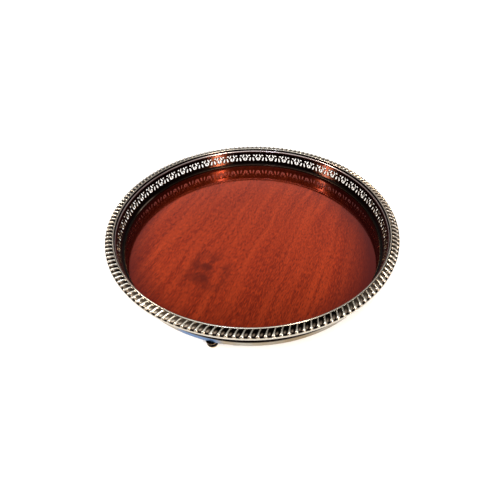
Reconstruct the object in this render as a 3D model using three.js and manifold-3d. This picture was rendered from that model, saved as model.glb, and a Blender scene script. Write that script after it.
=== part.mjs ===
// A round silver-plated gallery tray: a wooden board faced with polished laminate, held in a
// plated rim, with a pierced gallery round it, a gadroon border on top and four ball feet.
// Millimetres, +Z up. The origin is on the table, under the middle of the tray.
import * as THREE from 'three';
import { mergeVertices } from 'three/addons/utils/BufferGeometryUtils.js';
import Module from 'manifold-3d';

const wasm = await Module();
wasm.setup();

// Overall sizes.
const TRAY_DIAMETER = 305; // across the outer edge of the border
const FOOT_HEIGHT = 10.7; // table to the underside of the rim
const WALL_HEIGHT = 15; // pierced wall, between its two mouldings
const BORDER_OVERHANG = 10.2; // outer edge of the border, out past the rim band

// The board and its two faces.
const CORE_THICKNESS = 5.2;
const FACE_THICKNESS = 0.8;
const BACKING_THICKNESS = 0.7;
const BOARD_CLEARANCE = 0.4; // round the board, inside the rim band
const FACE_CLEARANCE = 0.3; // round the face, inside the foot moulding

// The rim: a band round the board's edge, turned in under it.
const RIM_SHEET = 1;
const RIM_FLANGE_WIDTH = 14;
const BACKING_CLEARANCE = 0.5; // round the backing, inside the flange

// The gallery: foot moulding, flared wall and top moulding.
const FOOT_MOULDING_HEIGHT = 3.2;
const FOOT_MOULDING_WIDTH = 3.4;
const WALL_SHEET = 1;
const WALL_SETBACK = 0.5; // foot of the wall, in from the rim's outer face
const WALL_FLARE = 2; // how much wider the wall is at its top
const TOP_MOULDING_HEIGHT = 4;
const TOP_MOULDING_WIDTH = 2.2;

// The piercing: one repeat of openings, round and round the wall.
const PIERCING_PITCH = 18.2;
const FIRST_REPEAT_ANGLE = 0.9; // where the first repeat starts, in degrees round from +X
const PIERCING_MARGIN_BELOW = 1.7; // plain metal under the openings
const PIERCING_MARGIN_ABOVE = 2.7;

// The border: a stamped strip, ridged on top, with a plain lip that turns down outside.
const BORDER_SEAT_SETBACK = 0.7; // inner edge of the border, out from the wall's inner face
const BORDER_CREST_HEIGHT = 1.6; // over the top moulding
const BORDER_CREST_WIDTH = 1.7;
const BORDER_SHEET = 1;
const BORDER_LIP_DROP = 5.7; // lip's lower edge, under the top moulding's top
const BORDER_LIP_TUCK = 2.2; // lip's lower edge, in from the outer edge
const BORDER_SHOULDER_DROP = 1.5; // widest part of the lip, under the top moulding's top
const BORDER_EDGE_EASE = 0.25; // outer edge of the ridges, in from the widest part
const GADROON_PITCH = 6.14;
const GADROON_DEPTH = 1;
const GADROON_SLANT = 0.27; // inner end of a ridge, ahead of its outer end, in pitches

// The feet: a turned ball, a collar over it, and a threaded stud up into the board.
const FOOT_SIDES = ['front', 'right', 'back', 'left'];
const FIRST_FOOT_ANGLE = 255; // degrees round from +X
const FOOT_INSET = 3.8; // foot's centre line, in from the rim's outer face
const BALL_RADIUS = 5.2;
const BALL_FLAT_RADIUS = 1.5; // flat that it stands on
const NECK_RADIUS = 2.8;
const COLLAR_RADIUS = 5.8;
const COLLAR_THICKNESS = 1;
const STUD_RADIUS = 1.3;
const STUD_CLEARANCE = 0.3;
const STUD_DEPTH_IN_BALL = 4;
const STUD_DEPTH_IN_BOARD = 3.8;

// How finely round shapes are cut into flats.
const RING_SEGMENTS = 72;
const FOOT_SEGMENTS = 16;
const STUD_SEGMENTS = 12;
const QUARTER_ROUND_STEPS = 3;
const BALL_STEPS = 6;

// Heights and radii that follow from the sizes above.
const rimBottom = FOOT_HEIGHT;
const boardBottom = rimBottom + RIM_SHEET;
const coreTop = boardBottom + CORE_THICKNESS;
const boardTop = coreTop + FACE_THICKNESS;
const wallBottom = boardTop + FOOT_MOULDING_HEIGHT;
const wallTop = wallBottom + WALL_HEIGHT;
const mouldingTop = wallTop + TOP_MOULDING_HEIGHT;
const collarBottom = rimBottom - COLLAR_THICKNESS;

const trayRadius = TRAY_DIAMETER / 2;
const rimRadius = trayRadius - BORDER_OVERHANG;
const boardRadius = rimRadius - RIM_SHEET - BOARD_CLEARANCE;
const flangeInnerRadius = rimRadius - RIM_FLANGE_WIDTH;
const footMouldingInner = rimRadius - FOOT_MOULDING_WIDTH;
const wallFootOuter = rimRadius - WALL_SETBACK;
const wallFootInner = wallFootOuter - WALL_SHEET;
const wallHeadInner = wallFootInner + WALL_FLARE;
const borderInner = wallHeadInner + BORDER_SEAT_SETBACK;
const footCircleRadius = rimRadius - FOOT_INSET;

const repeatCount = Math.round((2 * Math.PI * wallFootOuter) / PIERCING_PITCH);
const gadroonCount = Math.round((2 * Math.PI * trayRadius) / GADROON_PITCH);

const SILVER = { color: 0xb9aea4, roughness: 0.28, metalness: 1 };
const DARK_SILVER = { color: 0x6e6460, roughness: 0.4, metalness: 1 };
const STEEL = { color: 0x8d8f91, roughness: 0.45, metalness: 1 };
const MAHOGANY = { color: 0xa03a22, roughness: 0.12, metalness: 0 };
const CORE_WOOD = { color: 0x9a7048, roughness: 0.8, metalness: 0 };
const BACKING_BROWN = { color: 0x4a3326, roughness: 0.7, metalness: 0 };

const tray = new THREE.Group();

function addPart(name, geometry, finish) {
  const mesh = new THREE.Mesh(geometry, new THREE.MeshStandardMaterial(finish));
  mesh.name = name;
  tray.add(mesh);
}

function weld(geometry) {
  geometry.deleteAttribute('normal');
  geometry.deleteAttribute('uv');
  return mergeVertices(geometry, 1e-4);
}

// A solid turned about Z from [radius, height] points, which run anticlockwise round the section.
function turned(points, segments) {
  const profile = points.map(([radius, height]) => new THREE.Vector2(radius, height));
  const geometry = new THREE.LatheGeometry(profile, segments);
  return weld(geometry.rotateX(Math.PI / 2));
}

// A ring turned about Z, whose section closes on itself.
function turnedRing(points, segments = RING_SEGMENTS) {
  return turned([...points, points[0]], segments);
}

function disc(radius, bottom, top) {
  return turned([[0, bottom], [radius, bottom], [radius, top], [0, top]], RING_SEGMENTS);
}

// Points of a quarter ellipse from (r0, z0) to (r1, z1), which leaves the first point upright.
function quarterRound(r0, z0, r1, z1) {
  const points = [];
  for (let i = 0; i <= QUARTER_ROUND_STEPS; i += 1) {
    const turn = (Math.PI / 2) * (i / QUARTER_ROUND_STEPS);
    points.push([r0 + (r1 - r0) * (1 - Math.cos(turn)), z0 + (z1 - z0) * Math.sin(turn)]);
  }
  return points;
}

function toSolid(geometry) {
  const merged = weld(geometry);
  const vertProperties = new Float32Array(merged.attributes.position.array);
  const triVerts = new Uint32Array(merged.index.array);
  return new wasm.Manifold(new wasm.Mesh({ numProp: 3, vertProperties, triVerts }));
}

function toGeometry(solid) {
  const mesh = solid.getMesh();
  const geometry = new THREE.BufferGeometry();
  geometry.setAttribute('position', new THREE.BufferAttribute(mesh.vertProperties, 3));
  geometry.setIndex(new THREE.BufferAttribute(mesh.triVerts, 1));
  return geometry;
}

function upright(radius, bottom, top) {
  const geometry = new THREE.CylinderGeometry(radius, radius, top - bottom, STUD_SEGMENTS);
  return geometry.rotateX(Math.PI / 2).translate(0, 0, (bottom + top) / 2);
}

const footPlaces = FOOT_SIDES.map((name, index) => {
  const angle = THREE.MathUtils.degToRad(FIRST_FOOT_ANGLE + (index * 360) / FOOT_SIDES.length);
  return { name, x: footCircleRadius * Math.cos(angle), y: footCircleRadius * Math.sin(angle) };
});

// A piece with a clearance hole for each foot's stud, from one height up to another.
function drilledForStuds(geometry, bottom, top) {
  let solid = toSolid(geometry);
  for (const { x, y } of footPlaces) {
    const drill = upright(STUD_RADIUS + STUD_CLEARANCE, bottom, top).translate(x, y, 0);
    solid = solid.subtract(toSolid(drill));
  }
  return toGeometry(solid);
}

// The board: a core with a polished face, and a plain backing inside the rim's flange.
const drillMargin = 1; // how far a drill starts outside the piece
const pilotTop = boardBottom + STUD_DEPTH_IN_BOARD + STUD_CLEARANCE;
const core = disc(boardRadius, boardBottom, coreTop);
addPart('board_core', drilledForStuds(core, boardBottom - drillMargin, pilotTop), CORE_WOOD);
addPart('board_face', disc(footMouldingInner - FACE_CLEARANCE, coreTop, boardTop), MAHOGANY);
const backingRadius = flangeInnerRadius - BACKING_CLEARANCE;
const backing = disc(backingRadius, boardBottom - BACKING_THICKNESS, boardBottom);
addPart('board_backing', backing, BACKING_BROWN);

// The rim: its band rises to the board's face, and its flange turns in under the board.
const rim = turnedRing([
  [flangeInnerRadius, rimBottom],
  [rimRadius - RIM_SHEET, rimBottom],
  [rimRadius, rimBottom + RIM_SHEET],
  [rimRadius, boardTop],
  [rimRadius - RIM_SHEET, boardTop],
  [rimRadius - RIM_SHEET, boardBottom],
  [flangeInnerRadius, boardBottom],
]);
const rimDrilled = drilledForStuds(rim, rimBottom - drillMargin, boardBottom + drillMargin);
addPart('base_rim', rimDrilled, SILVER);

// The foot moulding stands on the core, round the face, and steps up over the rim band. It is
// rounded towards the tray's middle.
const footMoulding = turnedRing([
  [footMouldingInner, coreTop],
  [boardRadius, coreTop],
  [boardRadius, boardTop],
  [rimRadius, boardTop],
  [rimRadius, wallBottom],
  ...quarterRound(footMouldingInner, boardTop, wallFootInner, wallBottom).reverse(),
]);
addPart('gallery_foot_moulding', footMoulding, DARK_SILVER);

// An opening with four corners: a slot that runs down between two points, with its own width at
// each end. Positions are shares of the repeat's pitch, from its middle, and of the pierced height.
function slot(fromU, fromV, fromWidth, toU, toV, toWidth) {
  return [
    [fromU - fromWidth / 2, fromV],
    [fromU + fromWidth / 2, fromV],
    [toU + toWidth / 2, toV],
    [toU - toWidth / 2, toV],
  ];
}

// One half of a repeat, from its middle line out: half a cup that opens on the middle line, a
// leaning slot over the cup's arm, and a tall drop beside it. The other half is its mirror image.
const halfCup = [[0, 0.3], [0.04, 0.4], [0.025, 0.5], [0.08, 0.6], [0.16, 0.4], [0.1, 0.18], [0, 0.15]];
const leaningSlot = slot(0.1, 1, 0.07, 0.19, 0.55, 0.08);
const drop = slot(0.4, 0.62, 0.08, 0.346, 0.08, 0.12);

// The pierced wall: each half repeat is a flat pattern laid on the flared wall. Neighbouring
// halves share the corners on the lines between them, so they join into one ring.
function piercedWall() {
  const repeatAngle = (2 * Math.PI) / repeatCount;
  const pierced = WALL_HEIGHT - PIERCING_MARGIN_BELOW - PIERCING_MARGIN_ABOVE;
  const corner = (u, height) => new THREE.Vector2(u, height);
  const place = ([u, v]) => corner(u, PIERCING_MARGIN_BELOW + v * pierced);
  const frame = [corner(0, 0), corner(0.5, 0), corner(0.5, WALL_HEIGHT), corner(0, WALL_HEIGHT)];
  const outline = [...frame, ...halfCup.map(place)];
  const holes = [leaningSlot.map(place), drop.map(place)];
  const faces = THREE.ShapeUtils.triangulateShape(outline, holes);
  const flat = [...outline, ...holes.flat()];
  const positions = [];

  // Each corner is a point of the pattern and its depth in from the wall's outer face.
  function addTriangle(repeat, side, corners) {
    for (const [point, depth] of side > 0 ? corners : corners.reverse()) {
      const angle = ((repeat + side * point.x + 0.5) % repeatCount) * repeatAngle;
      const radius = wallFootOuter - depth + (WALL_FLARE * point.y) / WALL_HEIGHT;
      positions.push(radius * Math.cos(angle), radius * Math.sin(angle), wallBottom + point.y);
    }
  }

  // The edges that lie along the lines between halves have no face of their own.
  function addEdges(repeat, side, loop) {
    loop.forEach((start, i) => {
      const end = loop[(i + 1) % loop.length];
      if (start.x !== end.x) {
        addTriangle(repeat, side, [[start, 0], [start, WALL_SHEET], [end, WALL_SHEET]]);
        addTriangle(repeat, side, [[start, 0], [end, WALL_SHEET], [end, 0]]);
      }
    });
  }

  for (let repeat = 0; repeat < repeatCount; repeat += 1) {
    for (const side of [1, -1]) {
      for (const [a, b, c] of faces) {
        addTriangle(repeat, side, [[flat[a], 0], [flat[b], 0], [flat[c], 0]]);
        addTriangle(repeat, side, [[flat[c], WALL_SHEET], [flat[b], WALL_SHEET], [flat[a], WALL_SHEET]]);
      }
      for (const loop of [outline, ...holes]) {
        addEdges(repeat, side, loop);
      }
    }
  }
  const geometry = new THREE.BufferGeometry();
  geometry.setAttribute('position', new THREE.Float32BufferAttribute(positions, 3));
  return mergeVertices(geometry, 1e-4);
}
const turnedWall = piercedWall().rotateZ(THREE.MathUtils.degToRad(FIRST_REPEAT_ANGLE));
addPart('gallery_wall', turnedWall, DARK_SILVER);

// The top moulding stands on the wall's upper edge, rounded towards the tray's middle.
const topMouldingOuter = wallHeadInner + TOP_MOULDING_WIDTH;
const topMoulding = turnedRing([
  [topMouldingOuter, wallTop],
  [topMouldingOuter, mouldingTop],
  ...quarterRound(wallHeadInner, wallTop, borderInner, mouldingTop).reverse(),
]);
addPart('gallery_top_moulding', topMoulding, SILVER);

// The border: a stamped section swept round, whose upper face goes up and down over each
// gadroon. The ridges slant: each one's inner end is ahead of its outer end.
function gadroonBorder() {
  const crestTop = mouldingTop + BORDER_CREST_HEIGHT;
  const crestOuter = borderInner + BORDER_CREST_WIDTH;
  const ridgeRadius = (crestOuter + trayRadius) / 2;
  const lipBottom = mouldingTop - BORDER_LIP_DROP;
  const lipRadius = trayRadius - BORDER_LIP_TUCK;
  // Radius, height, how far the groove drops here, and the slant's share of the pitch.
  const section = [
    [topMouldingOuter, mouldingTop, 0, 0],
    [trayRadius - 2 * BORDER_SHEET, mouldingTop - BORDER_SHEET, 0, 0],
    [lipRadius - BORDER_SHEET, lipBottom + BORDER_SHEET / 2, 0, 0],
    [lipRadius, lipBottom, 0, 0],
    [trayRadius, mouldingTop - BORDER_SHOULDER_DROP, 0, 0],
    [trayRadius - BORDER_EDGE_EASE, mouldingTop, 0, 0],
    [ridgeRadius, crestTop, GADROON_DEPTH, GADROON_SLANT / 2],
    [crestOuter, crestTop - BORDER_SHEET / 2, 0, GADROON_SLANT],
    [borderInner + BORDER_CREST_WIDTH / 2, crestTop, 0, GADROON_SLANT],
    [borderInner, mouldingTop, 0, GADROON_SLANT],
  ];
  const columns = 2 * gadroonCount;
  const positions = [];
  const indices = [];
  for (let column = 0; column < columns; column += 1) {
    for (const [radius, height, drop, slant] of section) {
      const angle = ((column / 2 + slant) * 2 * Math.PI) / gadroonCount;
      const z = height - (column % 2) * drop;
      positions.push(radius * Math.cos(angle), radius * Math.sin(angle), z);
    }
    for (let i = 0; i < section.length; i += 1) {
      const next = (i + 1) % section.length;
      const here = column * section.length;
      const ahead = ((column + 1) % columns) * section.length;
      indices.push(here + i, ahead + i, ahead + next, here + i, ahead + next, here + next);
    }
  }
  const geometry = new THREE.BufferGeometry();
  geometry.setAttribute('position', new THREE.Float32BufferAttribute(positions, 3));
  geometry.setIndex(indices);
  return geometry;
}
addPart('gadroon_border', gadroonBorder(), SILVER);

// The feet: a ball with a neck, bored for its stud, a collar under the rim, and the stud.
const ballCentre = Math.sqrt(BALL_RADIUS ** 2 - BALL_FLAT_RADIUS ** 2);
const neckAngle = Math.PI - Math.asin(NECK_RADIUS / BALL_RADIUS);
const flatAngle = Math.asin(BALL_FLAT_RADIUS / BALL_RADIUS);
const boreRadius = STUD_RADIUS + STUD_CLEARANCE;
const boreBottom = collarBottom - STUD_DEPTH_IN_BALL;
const ballProfile = [[0, 0]];
for (let i = 0; i <= BALL_STEPS; i += 1) {
  const turn = flatAngle + ((neckAngle - flatAngle) * i) / BALL_STEPS;
  const height = i === 0 ? 0 : ballCentre - BALL_RADIUS * Math.cos(turn);
  ballProfile.push([BALL_RADIUS * Math.sin(turn), height]);
}
ballProfile.push([NECK_RADIUS, collarBottom], [boreRadius, collarBottom]);
ballProfile.push([boreRadius, boreBottom], [0, boreBottom]);
const collarProfile = [
  [boreRadius, collarBottom],
  [COLLAR_RADIUS - COLLAR_THICKNESS / 2, collarBottom],
  [COLLAR_RADIUS, collarBottom + COLLAR_THICKNESS / 2],
  [COLLAR_RADIUS, rimBottom],
  [boreRadius, rimBottom],
];
for (const { name, x, y } of footPlaces) {
  addPart(`foot_ball_${name}`, turned(ballProfile, FOOT_SEGMENTS).translate(x, y, 0), SILVER);
  const collar = turnedRing(collarProfile, FOOT_SEGMENTS).translate(x, y, 0);
  addPart(`foot_collar_${name}`, collar, SILVER);
  const stud = upright(STUD_RADIUS, boreBottom, boardBottom + STUD_DEPTH_IN_BOARD);
  addPart(`foot_stud_${name}`, stud.translate(x, y, 0), STEEL);
}

export default tray;
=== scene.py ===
import math

import bmesh
import bpy
import numpy as np
from mathutils import Matrix, Vector
from mathutils.geometry import delaunay_2d_cdt


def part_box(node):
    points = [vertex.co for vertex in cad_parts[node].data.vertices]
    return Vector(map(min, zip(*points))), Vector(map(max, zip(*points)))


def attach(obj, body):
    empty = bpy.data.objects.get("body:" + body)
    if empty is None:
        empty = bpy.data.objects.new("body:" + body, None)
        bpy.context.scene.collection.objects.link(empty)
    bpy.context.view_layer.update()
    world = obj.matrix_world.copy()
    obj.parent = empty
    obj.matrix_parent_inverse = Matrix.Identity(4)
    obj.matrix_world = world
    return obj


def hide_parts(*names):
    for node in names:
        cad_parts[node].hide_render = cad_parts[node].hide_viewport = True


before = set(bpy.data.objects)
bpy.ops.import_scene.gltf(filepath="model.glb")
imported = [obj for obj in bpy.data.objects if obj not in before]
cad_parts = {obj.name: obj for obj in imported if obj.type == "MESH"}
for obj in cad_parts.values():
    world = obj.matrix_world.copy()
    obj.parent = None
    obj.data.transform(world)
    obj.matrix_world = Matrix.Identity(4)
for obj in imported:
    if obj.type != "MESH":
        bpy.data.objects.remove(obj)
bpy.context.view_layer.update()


# ---- The board's core ------------------------------------------------------------------------
# A round of pressed wood board, sawn and left bare because the faces and the rim hide it.
# It is the solid that everything else on the tray is fixed to.

MM = 0.001


def linear(hex_colour):
    """sRGB hex to linear RGBA: a channel c becomes ((c + 0.055) / 1.055) to the power 2.4, or
    c / 12.92 where it is dark."""
    channels = [int(hex_colour[i:i + 2], 16) / 255 for i in (1, 3, 5)]
    return [c / 12.92 if c <= 0.04045 else ((c + 0.055) / 1.055) ** 2.4 for c in channels] + [1.0]


def add_node(tree, kind, settings=None, links=None):
    """One node with its settings, each a property or an input's name or number, and its links, each
    from a socket or from the first output that a node has in use."""
    node = tree.nodes.new(kind)
    for key, value in (settings or {}).items():
        if isinstance(key, int) or key in node.inputs:
            node.inputs[key].default_value = value
        else:
            setattr(node, key, value)
    for key, source in (links or {}).items():
        if isinstance(source, bpy.types.Node):
            source = next(output for output in source.outputs if output.enabled)
        tree.links.new(source, node.inputs[key])
    return node


def new_material(name):
    """An empty material, its node tree, and the Object coordinates that its patterns are laid on."""
    material = bpy.data.materials.new(name)
    material.use_nodes = True
    material.node_tree.nodes.clear()
    place = add_node(material.node_tree, "ShaderNodeTexCoord").outputs["Object"]
    return material, material.node_tree, place


def per_metre(size_mm):
    """A pattern's scale: how many of its blotches or steps of size_mm go into a metre."""
    return 1 / (size_mm * MM)


def pressed_wood_core():
    """Pressed wood board: short pale and brown fibres matted together, dull all over."""
    material, tree, place = new_material("pressed_wood_core")
    fibres = add_node(tree, "ShaderNodeTexNoise", {"Scale": per_metre(0.9), "Detail": 5.0},
                      {"Vector": place})
    clumps = add_node(tree, "ShaderNodeTexNoise", {"Scale": per_metre(6)}, {"Vector": place})
    pale = add_node(tree, "ShaderNodeMapRange", {1: 0.35, 2: 0.65}, {0: fibres})
    dark = add_node(tree, "ShaderNodeMapRange", {1: 0.4, 2: 0.7, 4: 0.5}, {0: clumps})
    mat = add_node(tree, "ShaderNodeMix", {"data_type": "RGBA", 6: linear("#7a5634"), 7: linear("#b08a5c")},
                   {0: pale})
    colour = add_node(tree, "ShaderNodeMix", {"data_type": "RGBA", 7: linear("#5f4128")}, {0: dark, 6: mat})
    relief = add_node(tree, "ShaderNodeBump", {"Distance": 0.2 * MM}, {"Height": fibres})
    shader = add_node(tree, "ShaderNodeBsdfPrincipled", {"Roughness": 0.85}, {
        "Base Color": colour, "Normal": relief})
    add_node(tree, "ShaderNodeOutputMaterial", links={"Surface": shader})
    return material


def finish_node(name, material):
    """Gives a CAD node that is kept as it is its finished material."""
    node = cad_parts[name]
    node.data.materials.clear()
    node.data.materials.append(material)


finish_node("board_core", pressed_wood_core())


# ---- The board's face ------------------------------------------------------------------------
# A thin sheet of red mahogany laminate under clear gloss lacquer, bonded to the core. Its cut
# edge is eased by hand and stops just short of the moulding round it.

ROOT = "root"
FACE_EDGE_EASE = 0.25
GRAIN_ANGLE = 66  # degrees round from +X
GRAIN_WANDER = 18  # how far a line of the grain strays sideways
HEAT_MARK = (-46, -62)  # its middle
HEAT_MARK_RADIUS = 33
# Painted shade along the gallery wall: the face is painted darker towards its edge.
WALL_SHADE_START = 113  # reach, from the middle, at which the face begins to darken
WALL_SHADE_FULL = 150
WALL_SHADE_SQUEEZE = (1.14, 0.9, 0)  # the painted shade reaches nearer to the middle at the left and right
WALL_SHADE_SHIFT = (6 * MM, 1 * MM, 0)


def node_box(name):
    """A CAD node's box in millimetres: its lowest and its highest corner."""
    low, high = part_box(name)
    return np.array(low) / MM, np.array(high) / MM


def eased(corners, steps=4):
    """An outline whose corners are rounded: each (r, z, ease) corner gives way to a quadratic curve
    that leaves one side, and joins the next, at the distance ease from the corner."""
    corners = np.array(corners, float)
    points, ease = corners[:, :2], corners[:, 2:]
    before = np.roll(points, 1, 0) - points
    after = np.roll(points, -1, 0) - points
    start = points + ease * before / np.linalg.norm(before, axis=1)[:, None]
    end = points + ease * after / np.linalg.norm(after, axis=1)[:, None]
    turn = np.linspace(0, 1, steps + 1)[None, :, None]
    curve = (start[:, None] * (1 - turn) ** 2 + points[:, None] * 2 * turn * (1 - turn)
             + end[:, None] * turn ** 2)
    sharp = ease[:, 0] == 0
    return np.concatenate([curve[i, :1] if sharp[i] else curve[i] for i in range(len(corners))])


def make_piece(name, points_mm, faces, sharp_angle=40):
    """A mesh from an array of points in millimetres and an array of faces with equal corner counts."""
    mesh = bpy.data.meshes.new(name)
    count, corners = faces.shape
    mesh.vertices.add(len(points_mm))
    mesh.vertices.foreach_set("co", (points_mm * MM).astype(np.float32).ravel())
    mesh.loops.add(count * corners)
    mesh.loops.foreach_set("vertex_index", faces.astype(np.int32).ravel())
    mesh.polygons.add(count)
    mesh.polygons.foreach_set("loop_start", np.arange(count, dtype=np.int32) * corners)
    mesh.update(calc_edges=True)
    mesh.polygons.foreach_set("use_smooth", np.ones(count, bool))
    mesh.set_sharp_from_angle(angle=math.radians(sharp_angle))
    piece = bpy.data.objects.new(name, mesh)
    bpy.context.scene.collection.objects.link(piece)
    return piece


def close_seams(piece, sharp_angle):
    """Merges the copies of a point that lie on one another, at a pole or along a seam."""
    work = bmesh.new()
    work.from_mesh(piece.data)
    bmesh.ops.remove_doubles(work, verts=work.verts, dist=1e-7)
    bmesh.ops.dissolve_degenerate(work, edges=work.edges, dist=1e-8)
    work.to_mesh(piece.data)
    work.free()
    piece.data.set_sharp_from_angle(angle=math.radians(sharp_angle))


def ring_faces(columns, rows):
    """Quads of a grid that closes both ways: column by column round the axis, and row by row
    round the outline."""
    column, row = np.meshgrid(np.arange(columns), np.arange(rows), indexing="ij")
    ahead, above = (column + 1) % columns, (row + 1) % rows
    corners = [column * rows + row, ahead * rows + row, ahead * rows + above, column * rows + above]
    return np.stack(corners, -1).reshape(-1, 4)


def turned(name, outline, columns=360, centre=(0, 0), sharp_angle=40):
    """A ring turned about an upright axis: each outline point (r, z) goes to (r cos a, r sin a, z),
    for equal steps of a. The outline runs anticlockwise and closes on itself; where it lies on the
    axis its copies are merged into one pole."""
    angle = np.linspace(0, 2 * np.pi, columns, endpoint=False)[:, None]
    r, z = outline[None, :, 0], outline[None, :, 1]
    points = np.stack([centre[0] + r * np.cos(angle), centre[1] + r * np.sin(angle), z + 0 * angle], -1)
    piece = make_piece(name, points.reshape(-1, 3), ring_faces(columns, len(outline)), sharp_angle)
    if outline[:, 0].min() == 0:
        close_seams(piece, sharp_angle)
    return piece


def finish_piece(piece, material, slot, *nodes):
    """Gives a new piece its material and its body, and hides the nodes it stands for. The slot is not used.
    """
    piece.data.materials.append(material)
    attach(piece, ROOT)
    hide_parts(*nodes)


def mahogany_laminate():
    """Mahogany laminate under gloss lacquer: rust red, with soft dark bands and streaks, and short
    orange flecks and dark pores, that all run one way. A warm dish has left a dark mark. Towards
    its edge the face is painted darker as shade along the gallery wall, reaching further in at the
    left and right. The lacquer is flat and clear, so it mirrors sharply, and most of what it mirrors
    takes on the stain's own red."""
    material, tree, place = new_material("mahogany_laminate")
    along = add_node(tree, "ShaderNodeMapping", {"Rotation": (0, 0, math.radians(-GRAIN_ANGLE))},
                     {"Vector": place})
    wander = add_node(tree, "ShaderNodeTexNoise", {"Scale": per_metre(90), "Detail": 1.0},
                      {"Vector": along})
    stray = {"operation": "MULTIPLY_ADD", 1: (0, GRAIN_WANDER * MM, 0)}
    grain = add_node(tree, "ShaderNodeVectorMath", stray, {0: wander.outputs["Color"], 2: along})
    layers = []
    for length, width, detail, low, high, share in (
            (150, 12, 2.0, 0.35, 0.65, 1.0), (110, 6, 1.0, 0.42, 0.64, 0.75),
            (6, 1.0, 2.0, 0.46, 0.64, 0.75), (4, 0.8, 1.0, 0.52, 0.68, 0.65)):
        drawn = {"Scale": (per_metre(length), per_metre(width), 1)}
        drawn_out = add_node(tree, "ShaderNodeMapping", drawn, {"Vector": grain})
        noise = add_node(tree, "ShaderNodeTexNoise", {"Scale": 1.0, "Detail": detail},
                         {"Vector": drawn_out})
        layers.append(add_node(tree, "ShaderNodeMapRange", {1: low, 2: high, 4: share}, {0: noise}))
    bands, streaks, flecks, pores = layers
    red = {"data_type": "RGBA", 6: linear("#a93112"), 7: linear("#d14a20")}
    colour = add_node(tree, "ShaderNodeMix", red, {0: bands})
    for mask, tint in ((streaks, "#902409"), (flecks, "#dc4c1e"), (pores, "#651408")):
        colour = add_node(tree, "ShaderNodeMix", {"data_type": "RGBA", 7: linear(tint)},
                          {0: mask, 6: colour})
    mark_place = (HEAT_MARK[0] * MM, HEAT_MARK[1] * MM, float(FACE_TOP * MM))
    away = add_node(tree, "ShaderNodeVectorMath", {"operation": "DISTANCE", 1: mark_place}, {0: place})
    fading = {1: 0.3 * HEAT_MARK_RADIUS * MM, 2: HEAT_MARK_RADIUS * MM, 3: 1, 4: 0}
    near = add_node(tree, "ShaderNodeMapRange", fading, {0: away.outputs["Value"]})
    clouds = add_node(tree, "ShaderNodeTexNoise", {"Scale": per_metre(12), "Detail": 3.0},
                      {"Vector": place})
    broken = add_node(tree, "ShaderNodeMapRange", {1: 0.4, 2: 0.58, 4: 0.7}, {0: clouds})
    mark = add_node(tree, "ShaderNodeMath", {"operation": "MULTIPLY"}, {0: near, 1: broken})
    colour = add_node(tree, "ShaderNodeMix", {"data_type": "RGBA", 7: linear("#5c1408")},
                      {0: mark, 6: colour})
    # Painted shade along the gallery wall: the face is painted darker towards its edge.
    squeezed = add_node(tree, "ShaderNodeMapping", {"Location": WALL_SHADE_SHIFT, "Scale": WALL_SHADE_SQUEEZE},
                        {"Vector": place})
    reach = add_node(tree, "ShaderNodeVectorMath", {"operation": "LENGTH"}, {0: squeezed})
    wall_shade = add_node(tree, "ShaderNodeMapRange", {1: WALL_SHADE_START * MM, 2: WALL_SHADE_FULL * MM, 4: 0.95},
                         {0: reach.outputs["Value"]})
    colour = add_node(tree, "ShaderNodeMix", {"data_type": "RGBA", 7: linear("#5c1210")},
                      {0: wall_shade, 6: colour})
    smears = add_node(tree, "ShaderNodeTexNoise", {"Scale": per_metre(35), "Detail": 3.0},
                      {"Vector": place})
    rough = add_node(tree, "ShaderNodeMapRange", {1: 0.35, 2: 0.75, 3: 0.075, 4: 0.13}, {0: smears})
    waves = add_node(tree, "ShaderNodeTexNoise", {"Scale": per_metre(14), "Detail": 1.0},
                     {"Vector": place})
    ripple = add_node(tree, "ShaderNodeBump", {"Distance": 0.012 * MM, "Strength": 0.5}, {"Height": waves})
    shader = add_node(tree, "ShaderNodeBsdfPrincipled", {
        "Metallic": 0.92, "Coat Weight": 0.22, "Coat Roughness": 0.03, "Coat IOR": 1.5,
    }, {"Base Color": colour, "Roughness": rough, "Normal": ripple, "Coat Normal": ripple})
    add_node(tree, "ShaderNodeOutputMaterial", links={"Surface": shader})
    return material


face_low, face_high = node_box("board_face")
FACE_RADIUS, FACE_BOTTOM, FACE_TOP = face_high[0], face_low[2], face_high[2]
face = turned("board_face_laminate", eased([
    (0, FACE_BOTTOM, 0), (FACE_RADIUS, FACE_BOTTOM, 0), (FACE_RADIUS, FACE_TOP, FACE_EDGE_EASE),
    (FACE_RADIUS * 0.5, FACE_TOP, 0), (0, FACE_TOP, 0)]))
finish_piece(face, mahogany_laminate(), "mahogany_laminate", "board_face")


# ---- The board's backing ---------------------------------------------------------------------
# A sheet of plain brown balancing laminate on the underside, so that the board stays flat. It is
# matt, with the fine grain of its paper and the scuffs of years of being set down.

BACKING_EDGE_EASE = 0.15


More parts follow.
